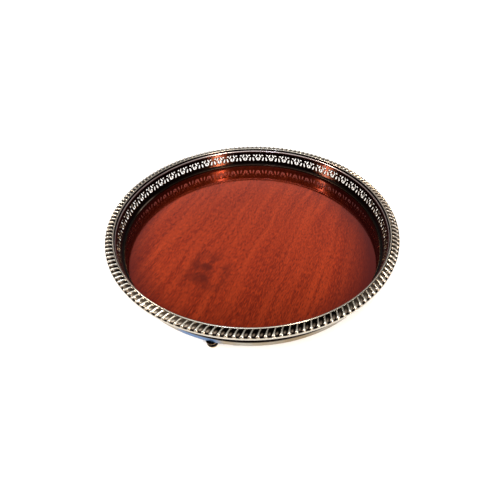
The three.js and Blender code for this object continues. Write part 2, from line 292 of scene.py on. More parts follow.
def balancing_laminate():
    """Phenolic paper laminate: dark brown, finely dimpled, with pale rubbed scuffs."""
    material, tree, place = new_material("balancing_laminate")
    dimples = add_node(tree, "ShaderNodeTexNoise", {"Scale": per_metre(0.8), "Detail": 3.0},
                       {"Vector": place})
    clouds = add_node(tree, "ShaderNodeTexNoise", {"Scale": per_metre(60), "Detail": 4.0},
                      {"Vector": place})
    cloudy = add_node(tree, "ShaderNodeMapRange", {1: 0.35, 2: 0.7}, {0: clouds})
    rubbed_and_highlight = {"Rotation": (0, 0, 0.5), "Scale": (per_metre(83), per_metre(6), 1)}
    rubbed_way = add_node(tree, "ShaderNodeMapping", rubbed_and_highlight, {"Vector": place})
    scuffs = add_node(tree, "ShaderNodeTexNoise", {"Scale": 1.0, "Detail": 5.0}, {"Vector": rubbed_way})
    pale = add_node(tree, "ShaderNodeMapRange", {1: 0.62, 2: 0.8, 4: 0.35}, {0: scuffs})
    rough = add_node(tree, "ShaderNodeMapRange", {1: 0.4, 2: 0.8, 3: 0.5, 4: 0.72}, {0: scuffs})
    brown = {"data_type": "RGBA", 6: linear("#3a2418"), 7: linear("#4d3222")}
    paper = add_node(tree, "ShaderNodeMix", brown, {0: cloudy})
    colour = add_node(tree, "ShaderNodeMix", {"data_type": "RGBA", 7: linear("#8a7460")},
                      {0: pale, 6: paper})
    relief = add_node(tree, "ShaderNodeBump", {"Distance": 0.06 * MM, "Strength": 0.6}, {"Height": dimples})
    shader = add_node(tree, "ShaderNodeBsdfPrincipled", {"IOR": 1.5}, {
        "Base Color": colour, "Roughness": rough, "Normal": relief})
    add_node(tree, "ShaderNodeOutputMaterial", links={"Surface": shader})
    return material


back_low, back_high = node_box("board_backing")
backing = turned("board_backing_laminate", eased([
    (0, back_low[2], 0), (back_high[0] * 0.5, back_low[2], 0),
    (back_high[0], back_low[2], BACKING_EDGE_EASE), (back_high[0], back_high[2], 0), (0, back_high[2], 0)]))
finish_piece(backing, balancing_laminate(), "backing_laminate", "board_backing")


# ---- The rim -----------------------------------------------------------------------------------
# A band of silver-plated sheet rolled round the board's edge and turned in underneath as a
# flange. Handling has worn it, and old polish and tarnish have left it cream and brown. A stretch
# at its front left is painted steel blue as a painted reflection, and its top edge is painted
# dark as shade under the border's lip.

RIM_SHEET = 1.0
RIM_EDGE_EASE = 0.3
RIM_BEND_EASE = 1.3
RIM_JOINT_GAP = 0.18
BACKING_CLEARANCE = 0.5
# A stretch of the band painted steel blue as a painted reflection: its middle, half width and fade.
BLUE_REFLECTION = (250.5, 9)  # its middle and its half width, in degrees round from +X
BLUE_FADE = 3
# The band's top edge, painted dark as shade under the border's lip: its height and fade.
RIM_DARK_EDGE = 1.7
RIM_DARK_FADE = 0.5


def store_values(piece, name, values):
    """Stores one number from 0 to 1 for each of the piece's vertices, under a name."""
    layer = piece.data.attributes.new(name, "FLOAT", "POINT")
    layer.data.foreach_set("value", np.clip(values, 0, 1).astype(np.float32))


def vertex_places(piece):
    """The piece's vertices as an array in millimetres, and their distances from the tray's axis."""
    places = np.empty(len(piece.data.vertices) * 3, np.float32)
    piece.data.vertices.foreach_get("co", places)
    places = places.reshape(-1, 3) / MM
    return places, np.hypot(places[:, 0], places[:, 1])


def silver_plate(name, polished, film, dark, film_amount, roughness):
    """Aged silver plate: a warm white metal under a thin yellow-brown film that gathers in
    patches. A darkness value on the piece's vertices turns it brown and then near black: tarnish in
    its recesses, with painted shade and painted dark reflections. A blue value mixes in steel blue
    as a painted reflection. Wiping leaves hair-fine scratches that soften its shine unevenly."""
    material, tree, place = new_material(name)
    cloudy = {"Scale": per_metre(24), "Detail": 4.0, "Distortion": 0.6}
    clouds = add_node(tree, "ShaderNodeTexNoise", cloudy, {"Vector": place})
    specks = add_node(tree, "ShaderNodeTexNoise", {"Scale": per_metre(1.6), "Detail": 3.0},
                      {"Vector": place})
    wiped_and_glints = {"Scale": per_metre(0.45), "Detail": 4.0, "Distortion": 1.5}
    hairs = add_node(tree, "ShaderNodeTexNoise", wiped_and_glints, {"Vector": place})
    patches = add_node(tree, "ShaderNodeMapRange", {1: 0.42, 2: 0.68, 4: film_amount}, {0: clouds})
    spots = add_node(tree, "ShaderNodeMapRange", {1: 0.5, 2: 0.72, 4: 0.35 * film_amount}, {0: specks})
    filmed = add_node(tree, "ShaderNodeMath", {"operation": "ADD"}, {0: patches, 1: spots})
    colour = add_node(tree, "ShaderNodeMix", {"data_type": "RGBA", 6: linear(polished), 7: linear(film)},
                      {0: filmed})
    # Painted reflection: where the blue value is set, steel blue is mixed in.
    blue = add_node(tree, "ShaderNodeAttribute", {"attribute_name": "blue"}).outputs["Fac"]
    colour = add_node(tree, "ShaderNodeMix", {"data_type": "RGBA", 7: linear("#4a6c98")},
                      {0: blue, 6: colour})
    # The darkness value: tarnish in recesses, with painted shade and painted dark reflections; it browns
    # the colour, then blackens it.
    tarnish_and_shade = add_node(tree, "ShaderNodeAttribute", {"attribute_name": "tarnish_and_shade"}).outputs["Fac"]
    ragged = add_node(tree, "ShaderNodeMath", {"operation": "MULTIPLY_ADD", 1: 0.3, 2: -0.03}, {0: spots})
    deepened = add_node(tree, "ShaderNodeMath", {"operation": "ADD"}, {0: tarnish_and_shade, 1: ragged})
    browned = add_node(tree, "ShaderNodeMapRange", {1: 0.15, 2: 0.5}, {0: deepened})
    colour = add_node(tree, "ShaderNodeMix", {"data_type": "RGBA", 7: linear(film)},
                      {0: browned, 6: colour})
    grime_and_shade = add_node(tree, "ShaderNodeMapRange", {1: 0.45, 2: 0.85}, {0: deepened})
    colour = add_node(tree, "ShaderNodeMix", {"data_type": "RGBA", 7: linear(dark)}, {0: grime_and_shade, 6: colour})
    uneven = {1: 0.3, 2: 0.75, 3: roughness * 0.75, 4: roughness * 1.35}
    shine = add_node(tree, "ShaderNodeMapRange", uneven, {0: hairs})
    rough = add_node(tree, "ShaderNodeMath", {"operation": "MULTIPLY_ADD", 1: 0.08}, {0: grime_and_shade, 2: shine})
    relief = add_node(tree, "ShaderNodeBump", {"Distance": 0.012 * MM, "Strength": 0.35}, {"Height": hairs})
    shader = add_node(tree, "ShaderNodeBsdfPrincipled", {"Metallic": 1.0}, {
        "Base Color": colour, "Roughness": rough, "Normal": relief})
    add_node(tree, "ShaderNodeOutputMaterial", links={"Surface": shader})
    return material


rim_low, rim_high = node_box("base_rim")
RIM_RADIUS, RIM_BOTTOM, RIM_TOP = rim_high[0], rim_low[2], rim_high[2]
FLANGE_INNER = back_high[0] + BACKING_CLEARANCE
FLANGE_TOP = RIM_BOTTOM + RIM_SHEET
rim = turned("base_rim_band", eased([
    (FLANGE_INNER, RIM_BOTTOM, RIM_EDGE_EASE),
    (RIM_RADIUS, RIM_BOTTOM, RIM_BEND_EASE),
    (RIM_RADIUS, RIM_TOP - RIM_DARK_EDGE, 0),
    (RIM_RADIUS, RIM_TOP - RIM_DARK_EDGE + RIM_DARK_FADE, 0),
    (RIM_RADIUS, RIM_TOP - RIM_JOINT_GAP, RIM_EDGE_EASE),
    (RIM_RADIUS - RIM_SHEET, RIM_TOP - RIM_JOINT_GAP, RIM_EDGE_EASE),
    (RIM_RADIUS - RIM_SHEET, FLANGE_TOP, 0),
    (FLANGE_INNER, FLANGE_TOP, RIM_EDGE_EASE)]))
places, reach = vertex_places(rim)
round_rim = np.degrees(np.arctan2(places[:, 1], places[:, 0])) % 360
# Painted blue reflection at the band's front left.
store_values(rim, "blue", (BLUE_REFLECTION[1] - abs(round_rim - BLUE_REFLECTION[0])) / BLUE_FADE)
# Painted shade under the border's lip darkens the band's top edge.
store_values(rim, "tarnish_and_shade", (places[:, 2] - RIM_TOP + RIM_DARK_EDGE) / RIM_DARK_FADE)
finish_piece(rim, silver_plate("worn_plate_rim", "#94928a", "#80693f", "#0c0908", 0.75, 0.3),
             "rim_plate", "base_rim")


# ---- The feet ----------------------------------------------------------------------------------
# Four turned balls with a short neck, each under a collar that spreads its load on the rim. A
# threaded stud runs up through the collar and the rim into the board. They are plated like the
# rim. The collar is painted dark as shade under the rim, and the ball's upper part as a painted
# reflection of the tray's dark underside.

FOOT_SIDES = ("front", "right", "back", "left")
FOOT_COLUMNS = 48
BALL_STEPS = 26
BALL_FLAT_RADIUS = 1.5
# The ball's upper part is painted dark, as a painted reflection of the tray's dark underside.
BALL_DARK_FROM = 0.42  # share of the ball's height from which it darkens upwards
BALL_DARK_FADE = 0.14
NECK_RADIUS = 2.9
NECK_EDGE_EASE = 0.1
STUD_CLEARANCE = 0.3
BORE_DEPTH = 4
COLLAR_SEAT_WIDTH = 1.4
COLLAR_DISH = 0.15
COLLAR_LOWER_EASE = 0.4
COLLAR_UPPER_EASE = 0.25


def ball_outline(radius, top, bore):
    """A ball that stands on a small flat and rises into a neck: the arc is radius times
    (sin a, -cos a) about the ball's middle, from the flat's angle to the neck's. A blind bore for
    the stud runs down from the neck's top."""
    middle = math.sqrt(radius ** 2 - BALL_FLAT_RADIUS ** 2)
    start, end = math.asin(BALL_FLAT_RADIUS / radius), math.pi - math.asin(NECK_RADIUS / radius)
    turn = np.linspace(start, end, BALL_STEPS)
    arc = np.stack([radius * np.sin(turn), middle - radius * np.cos(turn)], -1)
    bore_end = [[NECK_RADIUS - NECK_EDGE_EASE, top], [bore, top], [bore, top - BORE_DEPTH],
                [0, top - BORE_DEPTH]]
    return np.concatenate([[[0, 0]], arc, bore_end])


def collar_outline(bore, radius, bottom, top):
    """A washer with a rounded rim and an underside that rises slightly from a flat seat."""
    return eased([(bore, bottom, 0), (bore + COLLAR_SEAT_WIDTH, bottom, 0),
                  (radius, bottom + COLLAR_DISH, COLLAR_LOWER_EASE), (radius, top, COLLAR_UPPER_EASE),
                  (bore, top, 0)])


def stud_steel():
    """Mild steel studding: dull grey with a fine turned texture and a little brown rust."""
    material, tree, place = new_material("stud_steel")
    specks = add_node(tree, "ShaderNodeTexNoise", {"Scale": per_metre(1.2), "Detail": 4.0},
                      {"Vector": place})
    rust = add_node(tree, "ShaderNodeMapRange", {1: 0.5, 2: 0.75}, {0: specks})
    thread = add_node(tree, "ShaderNodeTexWave", {"bands_direction": "Z", "Scale": per_metre(2)},
                      {"Vector": place})
    rusted = {"data_type": "RGBA", 6: linear("#8c8c8a"), 7: linear("#6b4a33")}
    colour = add_node(tree, "ShaderNodeMix", rusted, {0: rust})
    rough = add_node(tree, "ShaderNodeMapRange", {3: 0.35, 4: 0.8}, {0: rust})
    relief = add_node(tree, "ShaderNodeBump", {"Distance": 0.15 * MM}, {"Height": thread.outputs["Fac"]})
    shader = add_node(tree, "ShaderNodeBsdfPrincipled", {"Metallic": 0.9}, {
        "Base Color": colour, "Roughness": rough, "Normal": relief})
    add_node(tree, "ShaderNodeOutputMaterial", links={"Surface": shader})
    return material


foot_plate = silver_plate("worn_plate_foot", "#d2c6ab", "#7d6548", "#0c0808", 0.5, 0.16)
studding = stud_steel()
for side in FOOT_SIDES:
    ball_low, ball_high = node_box(f"foot_ball_{side}")
    collar_low, collar_high = node_box(f"foot_collar_{side}")
    stud_low, stud_high = node_box(f"foot_stud_{side}")
    centre = (stud_low[:2] + stud_high[:2]) / 2
    bore = (stud_high[1] - stud_low[1]) / 2 + STUD_CLEARANCE
    neck_top = ball_high[2]
    ball_radius = (ball_high[1] - ball_low[1]) / 2
    ball = turned(f"foot_ball_turned_{side}", ball_outline(ball_radius, neck_top, bore),
                  FOOT_COLUMNS, centre)
    ball_rise = vertex_places(ball)[0][:, 2] / neck_top
    # Painted reflection of the tray's dark underside on the ball's upper part.
    store_values(ball, "tarnish_and_shade", (ball_rise - BALL_DARK_FROM) / BALL_DARK_FADE)
    finish_piece(ball, foot_plate, "foot_plate", f"foot_ball_{side}")
    collar_radius = (collar_high[1] - collar_low[1]) / 2
    washer = collar_outline(bore, collar_radius, collar_low[2], collar_high[2])
    collar = turned(f"foot_collar_turned_{side}", washer, FOOT_COLUMNS, centre)
    places = vertex_places(collar)[0]
    from_stud = np.hypot(places[:, 0] - centre[0], places[:, 1] - centre[1])
    # Painted shade under the rim: the collar is dark but for its outer edge.
    store_values(collar, "tarnish_and_shade", (1.05 * collar_radius - from_stud) / 0.5)
    finish_piece(collar, foot_plate, "foot_plate", f"foot_collar_{side}")
    finish_node(f"foot_stud_{side}", studding)


# ---- The gallery's foot moulding ---------------------------------------------------------------
# A solid plated ring round the board's face, stepped over the rim band. Its inner side is a
# plain ogee, and its outer side a hollow cove. Both are dark with tarnish and painted shade, the
# cove's as shade under the border's lip, apart from a painted highlight along the ogee's bead,
# brightest over one stretch.

FACE_CLEARANCE = 0.3
FOOT_RING_EDGE_EASE = 0.2
COVE_DEPTH = 0.9
OGEE_BEAD = 0.35
BEAD_LINE = 1.1  # height over the face at which the bead's painted highlight lies
BEAD_LINE_SPREAD = 0.45
# Painted highlight: the stretch where the bead's highlight is brightest.
HIGHLIGHT_STRETCH = (159, 8)  # its middle and its spread, in degrees round from +X


def ogee(r0, z0, r1, z1, steps=10):
    """A wave from (r0, z0) up to (r1, z1): the radius follows a smooth step of the height, with a
    shallow bead added over the lower half."""
    rise = np.linspace(0, 1, steps + 1)
    step = rise ** 2 * (3 - 2 * rise)
    bead = OGEE_BEAD * np.sin(np.pi * np.clip(rise * 1.6, 0, 1))
    return np.stack([r0 + (r1 - r0) * step - bead, z0 + (z1 - z0) * rise], -1)


def cove(radius, bottom, top, steps=8):
    """A hollow down an outer side: the radius less a half wave of COVE_DEPTH over the height."""
    rise = np.linspace(0, 1, steps + 1)
    return np.stack([radius - COVE_DEPTH * np.sin(np.pi * rise) ** 0.7, bottom + (top - bottom) * rise], -1)


moulding_low, moulding_high = node_box("gallery_foot_moulding")
core_radius = node_box("board_core")[1][0]
FOOT_MOULDING_INNER = FACE_RADIUS + FACE_CLEARANCE
FOOT_MOULDING_TOP = moulding_high[2]
wall_low, wall_high = node_box("gallery_wall")
WALL_SHEET = 1.0
WALL_FLARE = 2.0
WALL_HEAD_OUTER = wall_high[0]
WALL_FOOT_OUTER = WALL_HEAD_OUTER - WALL_FLARE
WALL_BOTTOM, WALL_TOP = wall_low[2], wall_high[2]
moulding_back = np.array([[FOOT_MOULDING_INNER, moulding_low[2]], [core_radius, moulding_low[2]],
                          [core_radius, RIM_TOP], [RIM_RADIUS - FOOT_RING_EDGE_EASE, RIM_TOP]])
moulding_side = cove(RIM_RADIUS, RIM_TOP + FOOT_RING_EDGE_EASE / 2, FOOT_MOULDING_TOP - FOOT_RING_EDGE_EASE)
moulding_top = np.array([[RIM_RADIUS - FOOT_RING_EDGE_EASE, FOOT_MOULDING_TOP]])
moulding_face = ogee(FOOT_MOULDING_INNER, FACE_TOP, WALL_FOOT_OUTER - WALL_SHEET, FOOT_MOULDING_TOP)[::-1]
foot_moulding = turned("gallery_foot_ring",
                       np.concatenate([moulding_back, moulding_side, moulding_top, moulding_face]))
places, reach = vertex_places(foot_moulding)
inside = reach < WALL_FOOT_OUTER - WALL_SHEET / 2
# Painted highlight along the ogee's bead, brightest over one stretch; the rest of the ogee is dark with
# tarnish and painted shade, and the cove with tarnish and painted shade under the border's lip.
bead_highlight = np.exp(-((places[:, 2] - FACE_TOP - BEAD_LINE) / BEAD_LINE_SPREAD) ** 2)
round_ring = np.degrees(np.arctan2(places[:, 1], places[:, 0]))
rubbed_and_highlight = np.exp(-((round_ring - HIGHLIGHT_STRETCH[0]) / HIGHLIGHT_STRETCH[1]) ** 4)
in_cove = (FOOT_MOULDING_TOP - 0.5 - places[:, 2]) / 0.3
on_ogee = 0.95 - (0.2 + 0.75 * rubbed_and_highlight) * bead_highlight
store_values(foot_moulding, "tarnish_and_shade", np.where(inside, on_ogee, in_cove))
finish_piece(foot_moulding,
             silver_plate("tarnished_plate_foot_moulding", "#94877a", "#4a382b", "#0d0908", 0.6, 0.2),
             "gallery_plate", "gallery_foot_moulding")


# ---- The gallery wall --------------------------------------------------------------------------
# One strip of plated sheet, pierced by a press with a repeat of cups, leaning slots, oval eyes
# and drops, then rolled into a ring that flares a little. The punched edges are slightly rounded.
# The side towards the board is almost black with tarnish and a painted dark reflection, both faces
# are darker near the mouldings as painted shade, and two narrow stretches are painted lighter as
# glints of the lamps.

PIERCING_PITCH = 18.2
FIRST_REPEAT_ANGLE = 0.9
WALL_STEP = 1.3
GRID_GAP = 0.45  # how near to an opening the face's own grid of points may come
MIDDLE_GAP = 0.3  # and how near to the cup its points on the repeat's middle line may come
PUNCH_EASE = 0.12
EYE_PLACE = (5.75, 10.75)  # out from the repeat's middle line, and up from the wall's foot
EYE_SIZE = (1.4, 0.9)
EYE_TILT = 0.2
LEANING_SLOT = ((1.8, 11.45, 0.66), (3.5, 8.25, 0.72))  # each end's place and radius
DROP = ((7.3, 7.4, 0.7), (6.4, 4.1, 1.02))
CUP_MIDDLE = 5.9
CUP_OUTER = (2.8, 2.5)
CUP_INNER = (0.85, 1.15)
CUP_ARM_END = 60
CUP_ARM_BULGE = 0.3
# Painted glints: stretches of the wall painted lighter where the lamps glint, and their spread.
GLINT_PLACES = (108, 46)  # degrees round from +X
GLINT_SPREAD = 4.5
OUTER_TARNISH = 0.2
# The inner face's darkness, from tarnish and a painted dark reflection.
INNER_TARNISH_AND_SHADE = 0.88


def eye_loop(grow, steps=16):
    """A tilted ellipse about the eye's middle, traced clockwise."""
    angle = -np.linspace(0, 2 * np.pi, steps, endpoint=False)
    along, across = (EYE_SIZE[0] + grow) * np.cos(angle), (EYE_SIZE[1] + grow) * np.sin(angle)
    u = EYE_PLACE[0] + along * math.cos(EYE_TILT) - across * math.sin(EYE_TILT)
    v = EYE_PLACE[1] + along * math.sin(EYE_TILT) + across * math.cos(EYE_TILT)
    return np.stack([u, v], -1)


def tapered_loop(ends, grow, steps=8):
    """Two round ends of different size joined by their common tangents, traced clockwise. A
    tangent leaves each circle at the angle whose cosine is the change of radius over the length."""
    (ua, va, ra), (ub, vb, rb) = ends
    ra, rb = ra + grow, rb + grow
    axis = math.atan2(vb - va, ub - ua)
    lean = math.acos((ra - rb) / math.hypot(ub - ua, vb - va))
    first = axis - np.linspace(lean, 2 * np.pi - lean, steps)
    second = axis + np.linspace(lean, -lean, steps)
    start = np.stack([ua + ra * np.cos(first), va + ra * np.sin(first)], -1)
    end = np.stack([ub + rb * np.cos(second), vb + rb * np.sin(second)], -1)
    return np.concatenate([end, start])


def cup_path(grow, steps=11):
    """Half of the cup: along its outer ellipse from the middle line, exactly at 0, to the end of its
    arm, round the arm's end in a flat half ellipse, and back along the inner ellipse."""
    angle = np.radians(np.linspace(-90, CUP_ARM_END, steps))
    circle = np.stack([np.cos(angle), np.sin(angle)], -1)
    circle[0, 0] = 0
    outer = circle * (np.array(CUP_OUTER) + grow) + (0, CUP_MIDDLE)
    inner = circle * (np.array(CUP_INNER) - grow) + (0, CUP_MIDDLE)
    middle, half = (outer[-1] + inner[-1]) / 2, (outer[-1] - inner[-1]) / 2
    bulge = np.array([-half[1], half[0]]) * (CUP_ARM_BULGE + grow / np.linalg.norm(half))
    turn = np.linspace(0, np.pi, 7)[1:-1, None]
    end = middle + half * np.cos(turn) + bulge * np.sin(turn)
    return np.concatenate([outer, end, inner[::-1]])


def inside_loop(points, loop):
    """True where a point is inside a closed loop: a ray from it crosses the loop an odd number of
    times."""
    start, end = loop, np.roll(loop, -1, 0)
    x, y = points[:, None, 0], points[:, None, 1]
    crosses = (start[None, :, 1] > y) != (end[None, :, 1] > y)
    rise = np.where(end[:, 1] == start[:, 1], 1, end[:, 1] - start[:, 1])
    cut = start[:, 0] + (y - start[:, 1]) * (end[:, 0] - start[:, 0]) / rise
    return (crosses & (x < cut)).sum(1) % 2 == 1


def opening_loops(grow):
    """The half repeat's four openings; the cup's loop closes along the middle line."""
    return [cup_path(grow), eye_loop(grow), tapered_loop(LEANING_SLOT, grow), tapered_loop(DROP, grow)]


def half_repeat_face(half_pitch, height):
    """One half repeat's flat face as points and triangles, the runs of its points that lie along
    its lower edge, its upper edge and each opening: a triangulation that keeps every edge of them."""
    loops = opening_loops(PUNCH_EASE)
    rows = np.linspace(0, height, math.ceil(height / WALL_STEP) + 1)[1:-1]
    across = np.linspace(0, half_pitch, math.ceil(half_pitch / WALL_STEP) + 1)
    cup_low, cup_high = loops[0][0, 1], loops[0][-1, 1]
    middle_rows = rows[(rows < cup_low - MIDDLE_GAP) | (rows > cup_high + MIDDLE_GAP)]
    grid = np.stack(np.meshgrid(across[1:-1], rows), -1).reshape(-1, 2)
    apart = np.min([np.linalg.norm(grid[:, None] - loop[None], axis=2).min(1) for loop in loops], 0)
    clear = (apart > GRID_GAP) & ~np.any([inside_loop(grid, loop) for loop in loops], 0)
    lines = [np.stack([across, 0 * across], -1), np.stack([across, 0 * across + height], -1),
             np.stack([0 * rows + half_pitch, rows], -1), np.stack([0 * middle_rows, middle_rows], -1)]
    groups = [*loops, *lines, grid[clear]]
    points = np.concatenate(groups)
    starts = np.cumsum([0] + [len(group) for group in groups])
    runs = [np.arange(start, end) for start, end in zip(starts[:-1], starts[1:])]
    edges = [(run[:-1], run[1:]) for run in (runs[0], runs[4], runs[5])]
    edges += [(run, np.roll(run, -1)) for run in runs[1:4]]
    pairs = np.concatenate([np.stack(pair, -1) for pair in edges]).tolist()
    result = delaunay_2d_cdt([Vector(point) for point in points], pairs, [], 0, 1e-6)
    source = np.array([origins[0] for origins in result[3]])
    triangles = source[np.array(result[2])]
    open_there = np.any([inside_loop(points[triangles].mean(1), loop) for loop in loops], 0)
    return points, triangles[~open_there], runs[4], runs[5], runs[:4]


def strip(first, second, closed):
    """Triangles between two runs of points of equal length."""
    a, b = (first, np.roll(first, -1)) if closed else (first[:-1], first[1:])
    c, d = (second, np.roll(second, -1)) if closed else (second[:-1], second[1:])
    return np.concatenate([np.stack([a, c, d], -1), np.stack([a, d, b], -1)])


def pierced_wall():
    """The wall: a half repeat's outer and inner face, eased punched edges between them, and its
    plain upper and lower edges. Each copy bends by the angle u over the pitch and leans out with
    height, and every second copy is a mirror image."""
    repeats = round(2 * math.pi * WALL_FOOT_OUTER / PIERCING_PITCH)
    pitch = 2 * math.pi * WALL_FOOT_OUTER / repeats
    height = WALL_TOP - WALL_BOTTOM
    flat, triangles, low_run, high_run, loop_runs = half_repeat_face(pitch / 2, height)
    count = len(flat)
    places = [np.c_[flat, np.zeros(count)], np.c_[flat, np.full(count, WALL_SHEET)]]
    parts = [triangles, triangles[:, ::-1] + count]
    parts += [strip(low_run, low_run + count, False), strip(high_run[::-1], high_run[::-1] + count, False)]
    start = 2 * count
    for i, (run, loop) in enumerate(zip(loop_runs, opening_loops(0))):
        for depth in (PUNCH_EASE, WALL_SHEET - PUNCH_EASE):
            places.append(np.c_[loop, np.full(len(loop), depth)])
        outer = start + np.arange(len(loop))
        inner = outer + len(loop)
        start += 2 * len(loop)
        order = slice(None, None, -1) if i == 0 else slice(None)
        for first, second in ((run, outer), (outer, inner), (inner, run + count)):
            parts.append(strip(first[order], second[order], i > 0))
    local = np.concatenate(places)
    faces = np.concatenate(parts)
    u, v, depth = local.T
    side = np.array([1, -1])[None, :, None]
    middle = np.arange(repeats)[:, None, None] + 0.5
    angle = (middle + side * u / pitch) * 2 * math.pi / repeats + math.radians(FIRST_REPEAT_ANGLE)
    radius = WALL_FOOT_OUTER - depth + WALL_FLARE * v / height + 0 * angle
    points = np.stack([radius * np.cos(angle), radius * np.sin(angle), WALL_BOTTOM + v + 0 * angle], -1)
    both = np.stack([faces, faces[:, ::-1] + len(local)])
    shift = (np.arange(repeats) * 2 * len(local))[:, None, None, None]
    return points.reshape(-1, 3), (both[None] + shift).reshape(-1, 3)


wall = make_piece("gallery_wall_pierced", *pierced_wall())
close_seams(wall, 50)
places, reach = vertex_places(wall)
rise = (places[:, 2] - WALL_BOTTOM) / (WALL_TOP - WALL_BOTTOM)
depth_in = WALL_FOOT_OUTER + WALL_FLARE * rise - reach
# Painted shade near the mouldings on both faces, tarnish with a painted dark reflection on the inner face,
# and painted glints at two stretches.
under_mouldings = np.maximum((0.08 - rise) / 0.04, (rise - 0.9) / 0.08)
on_inner_face = (depth_in - 0.78) / 0.3
wall_tarnish_and_shade = OUTER_TARNISH + np.maximum(on_inner_face, 0.5 * under_mouldings)
wall_tarnish_and_shade = np.clip(wall_tarnish_and_shade, OUTER_TARNISH, INNER_TARNISH_AND_SHADE)
round_wall = np.degrees(np.arctan2(places[:, 1], places[:, 0]))
wiped_and_glints = sum(np.exp(-((round_wall - place) / GLINT_SPREAD) ** 2) for place in GLINT_PLACES)
store_values(wall, "tarnish_and_shade", wall_tarnish_and_shade - 0.5 * wiped_and_glints)
finish_piece(wall, silver_plate("tarnished_plate_wall", "#a79c8e", "#5f4936", "#0e0a08", 0.85, 0.22),
             "gallery_plate", "gallery_wall")


# ---- The gallery's top moulding ----------------------------------------------------------------
# A plain plated ring on the wall's upper edge. Its inner side is a smooth round roll, and above
# that a groove under the border's crest. The groove is painted dark as shade under the crest, and
# the roll's lower part as shade too.

ROLL_BULGE = 0.75
ROLL_SETBACK = 0.35
ROLL_SHARE = 0.66
GROOVE_DEPTH = 1.1
GROOVE_SLOPE = 0.04
top_low, top_high = node_box("gallery_top_moulding")
MOULDING_OUTER, MOULDING_BOTTOM, MOULDING_TOP = top_high[0], top_low[2], top_high[2]
WALL_HEAD_INNER = WALL_HEAD_OUTER - WALL_SHEET


def roll_outline():
    """The ring's section: a flat back and foot, and inside a roll, whose radius is the wall's less a
    half wave over the roll's share of the height, then a groove cut back above it."""
    rise = np.linspace(0, 1, 15)
    height = MOULDING_TOP - MOULDING_BOTTOM
    roll = np.stack([WALL_HEAD_INNER + ROLL_SETBACK - ROLL_BULGE * np.sin(np.pi * rise) ** 0.8,
                     MOULDING_BOTTOM + height * ROLL_SHARE * rise], -1)
    groove = [[WALL_HEAD_INNER + GROOVE_DEPTH, MOULDING_BOTTOM + height * (ROLL_SHARE + GROOVE_SLOPE)],
              [WALL_HEAD_INNER + GROOVE_DEPTH, MOULDING_TOP]]
    back = [[MOULDING_OUTER, MOULDING_BOTTOM], [MOULDING_OUTER, MOULDING_TOP]]
    return np.concatenate([back, groove[::-1], roll[::-1]])


top_moulding = turned("gallery_top_roll", roll_outline())
places, reach = vertex_places(top_moulding)
rise = (places[:, 2] - MOULDING_BOTTOM) / (MOULDING_TOP - MOULDING_BOTTOM)
# Painted shade: the groove under the crest and the roll's lower part are painted dark.
groove_shade = (rise - ROLL_SHARE + 0.06) / 0.05
roll_foot_shade = (0.42 - rise) / 0.16
store_values(top_moulding, "tarnish_and_shade", np.maximum(groove_shade, roll_foot_shade))
finish_piece(top_moulding, silver_plate("aged_plate_roll", "#a89e9c", "#7d6e69", "#0a0808", 0.6, 0.2),
             "gallery_plate", "gallery_top_moulding")


# ---- The gadroon border ------------------------------------------------------------------------
# A heavy stamped strip soldered on top: a plain bead inside, comma-shaped lobes that lean one
# way, and a plain lip rolled down outside. The lobes' tops are rubbed bright, and the gaps
# between them are black with old tarnish and painted shade, with a brownish painted reflection
# on a low boss in each. The gaps are painted lighter over three stretches as painted light, and
# darker over one at the right as painted shade. The bead's inner side is painted dark as shade,
# and the lip's underside is dark with tarnish and painted shade.

GADROON_PITCH = 6.14
GADROON_LEAN = 0.46  # how far ahead a lobe's inner end lies, in pitches
LOBE_HEIGHT = 1.6
LOBE_COLUMNS = 16
LOBE_ROWS = 15
BOSS_HEIGHT = 0.3
BOSS_PLACE = (0.4, 0.62)  # across the pitch, and from the inner to the outer end
BOSS_SPREAD = 0.2
BEAD_WIDTH = 1.3
BEAD_HEIGHT = 0.7
SHOULDER_WIDTH = 0.55
FLOOR_RISE = 0.3  # of the floor's inner end, over the border's seat
FLOOR_FALL = 1.1
FLOOR_CROWN = 0.25
SEAT_SETBACK = 0.7
PAINTED_LIGHT_PLACES = ((238, 18, 0.34), (10, 32, 0.2), (315, 22, 0.24))  # degrees, spread and strength of the painted light
# Painted shade: the gaps between lobes are painted darker over this stretch at the right; its middle and
# spread, and the least darkness there.
SHADE_PLACE = (5, 45)
SHADE_LEVEL = 0.42
# Painted shade on the bead's inner side, under the crest: its rows and their darkness.
BEAD_DARK_ROWS = 2
BEAD_SHADE = 0.9
LIP_BRIGHT_ROWS = 3
LIP_TARNISH = 0.16
border_low, border_high = node_box("gadroon_border")
BORDER_INNER = WALL_HEAD_INNER + SEAT_SETBACK
BORDER_OUTER, CREST_TOP, LIP_BOTTOM = border_high[0], border_high[2], border_low[2]


def around(x, middle):
    """How far x, which repeats every 1, is from middle: between -0.5 and 0.5."""
    return (x - middle + 0.5) % 1 - 0.5


def lobe(x, t):
    """A gadroon's height at x pitches from its middle line, at t from its inner to its outer end: a
    rounded top, the square root of one less (x / half width) squared. On one side the half width
    swells towards the outer end, like a comma's head, and on the other it grows little."""
    swell = np.exp(-((t - 0.8) / 0.22) ** 2)
    left = 0.12 + 0.05 * t + 0.11 * swell
    right = 0.13 + 0.06 * t + 0.05 * swell
    share = np.where(x < 0, -x / left, x / right)
    return np.clip(1 - share ** 2, 0, 1) ** 0.5


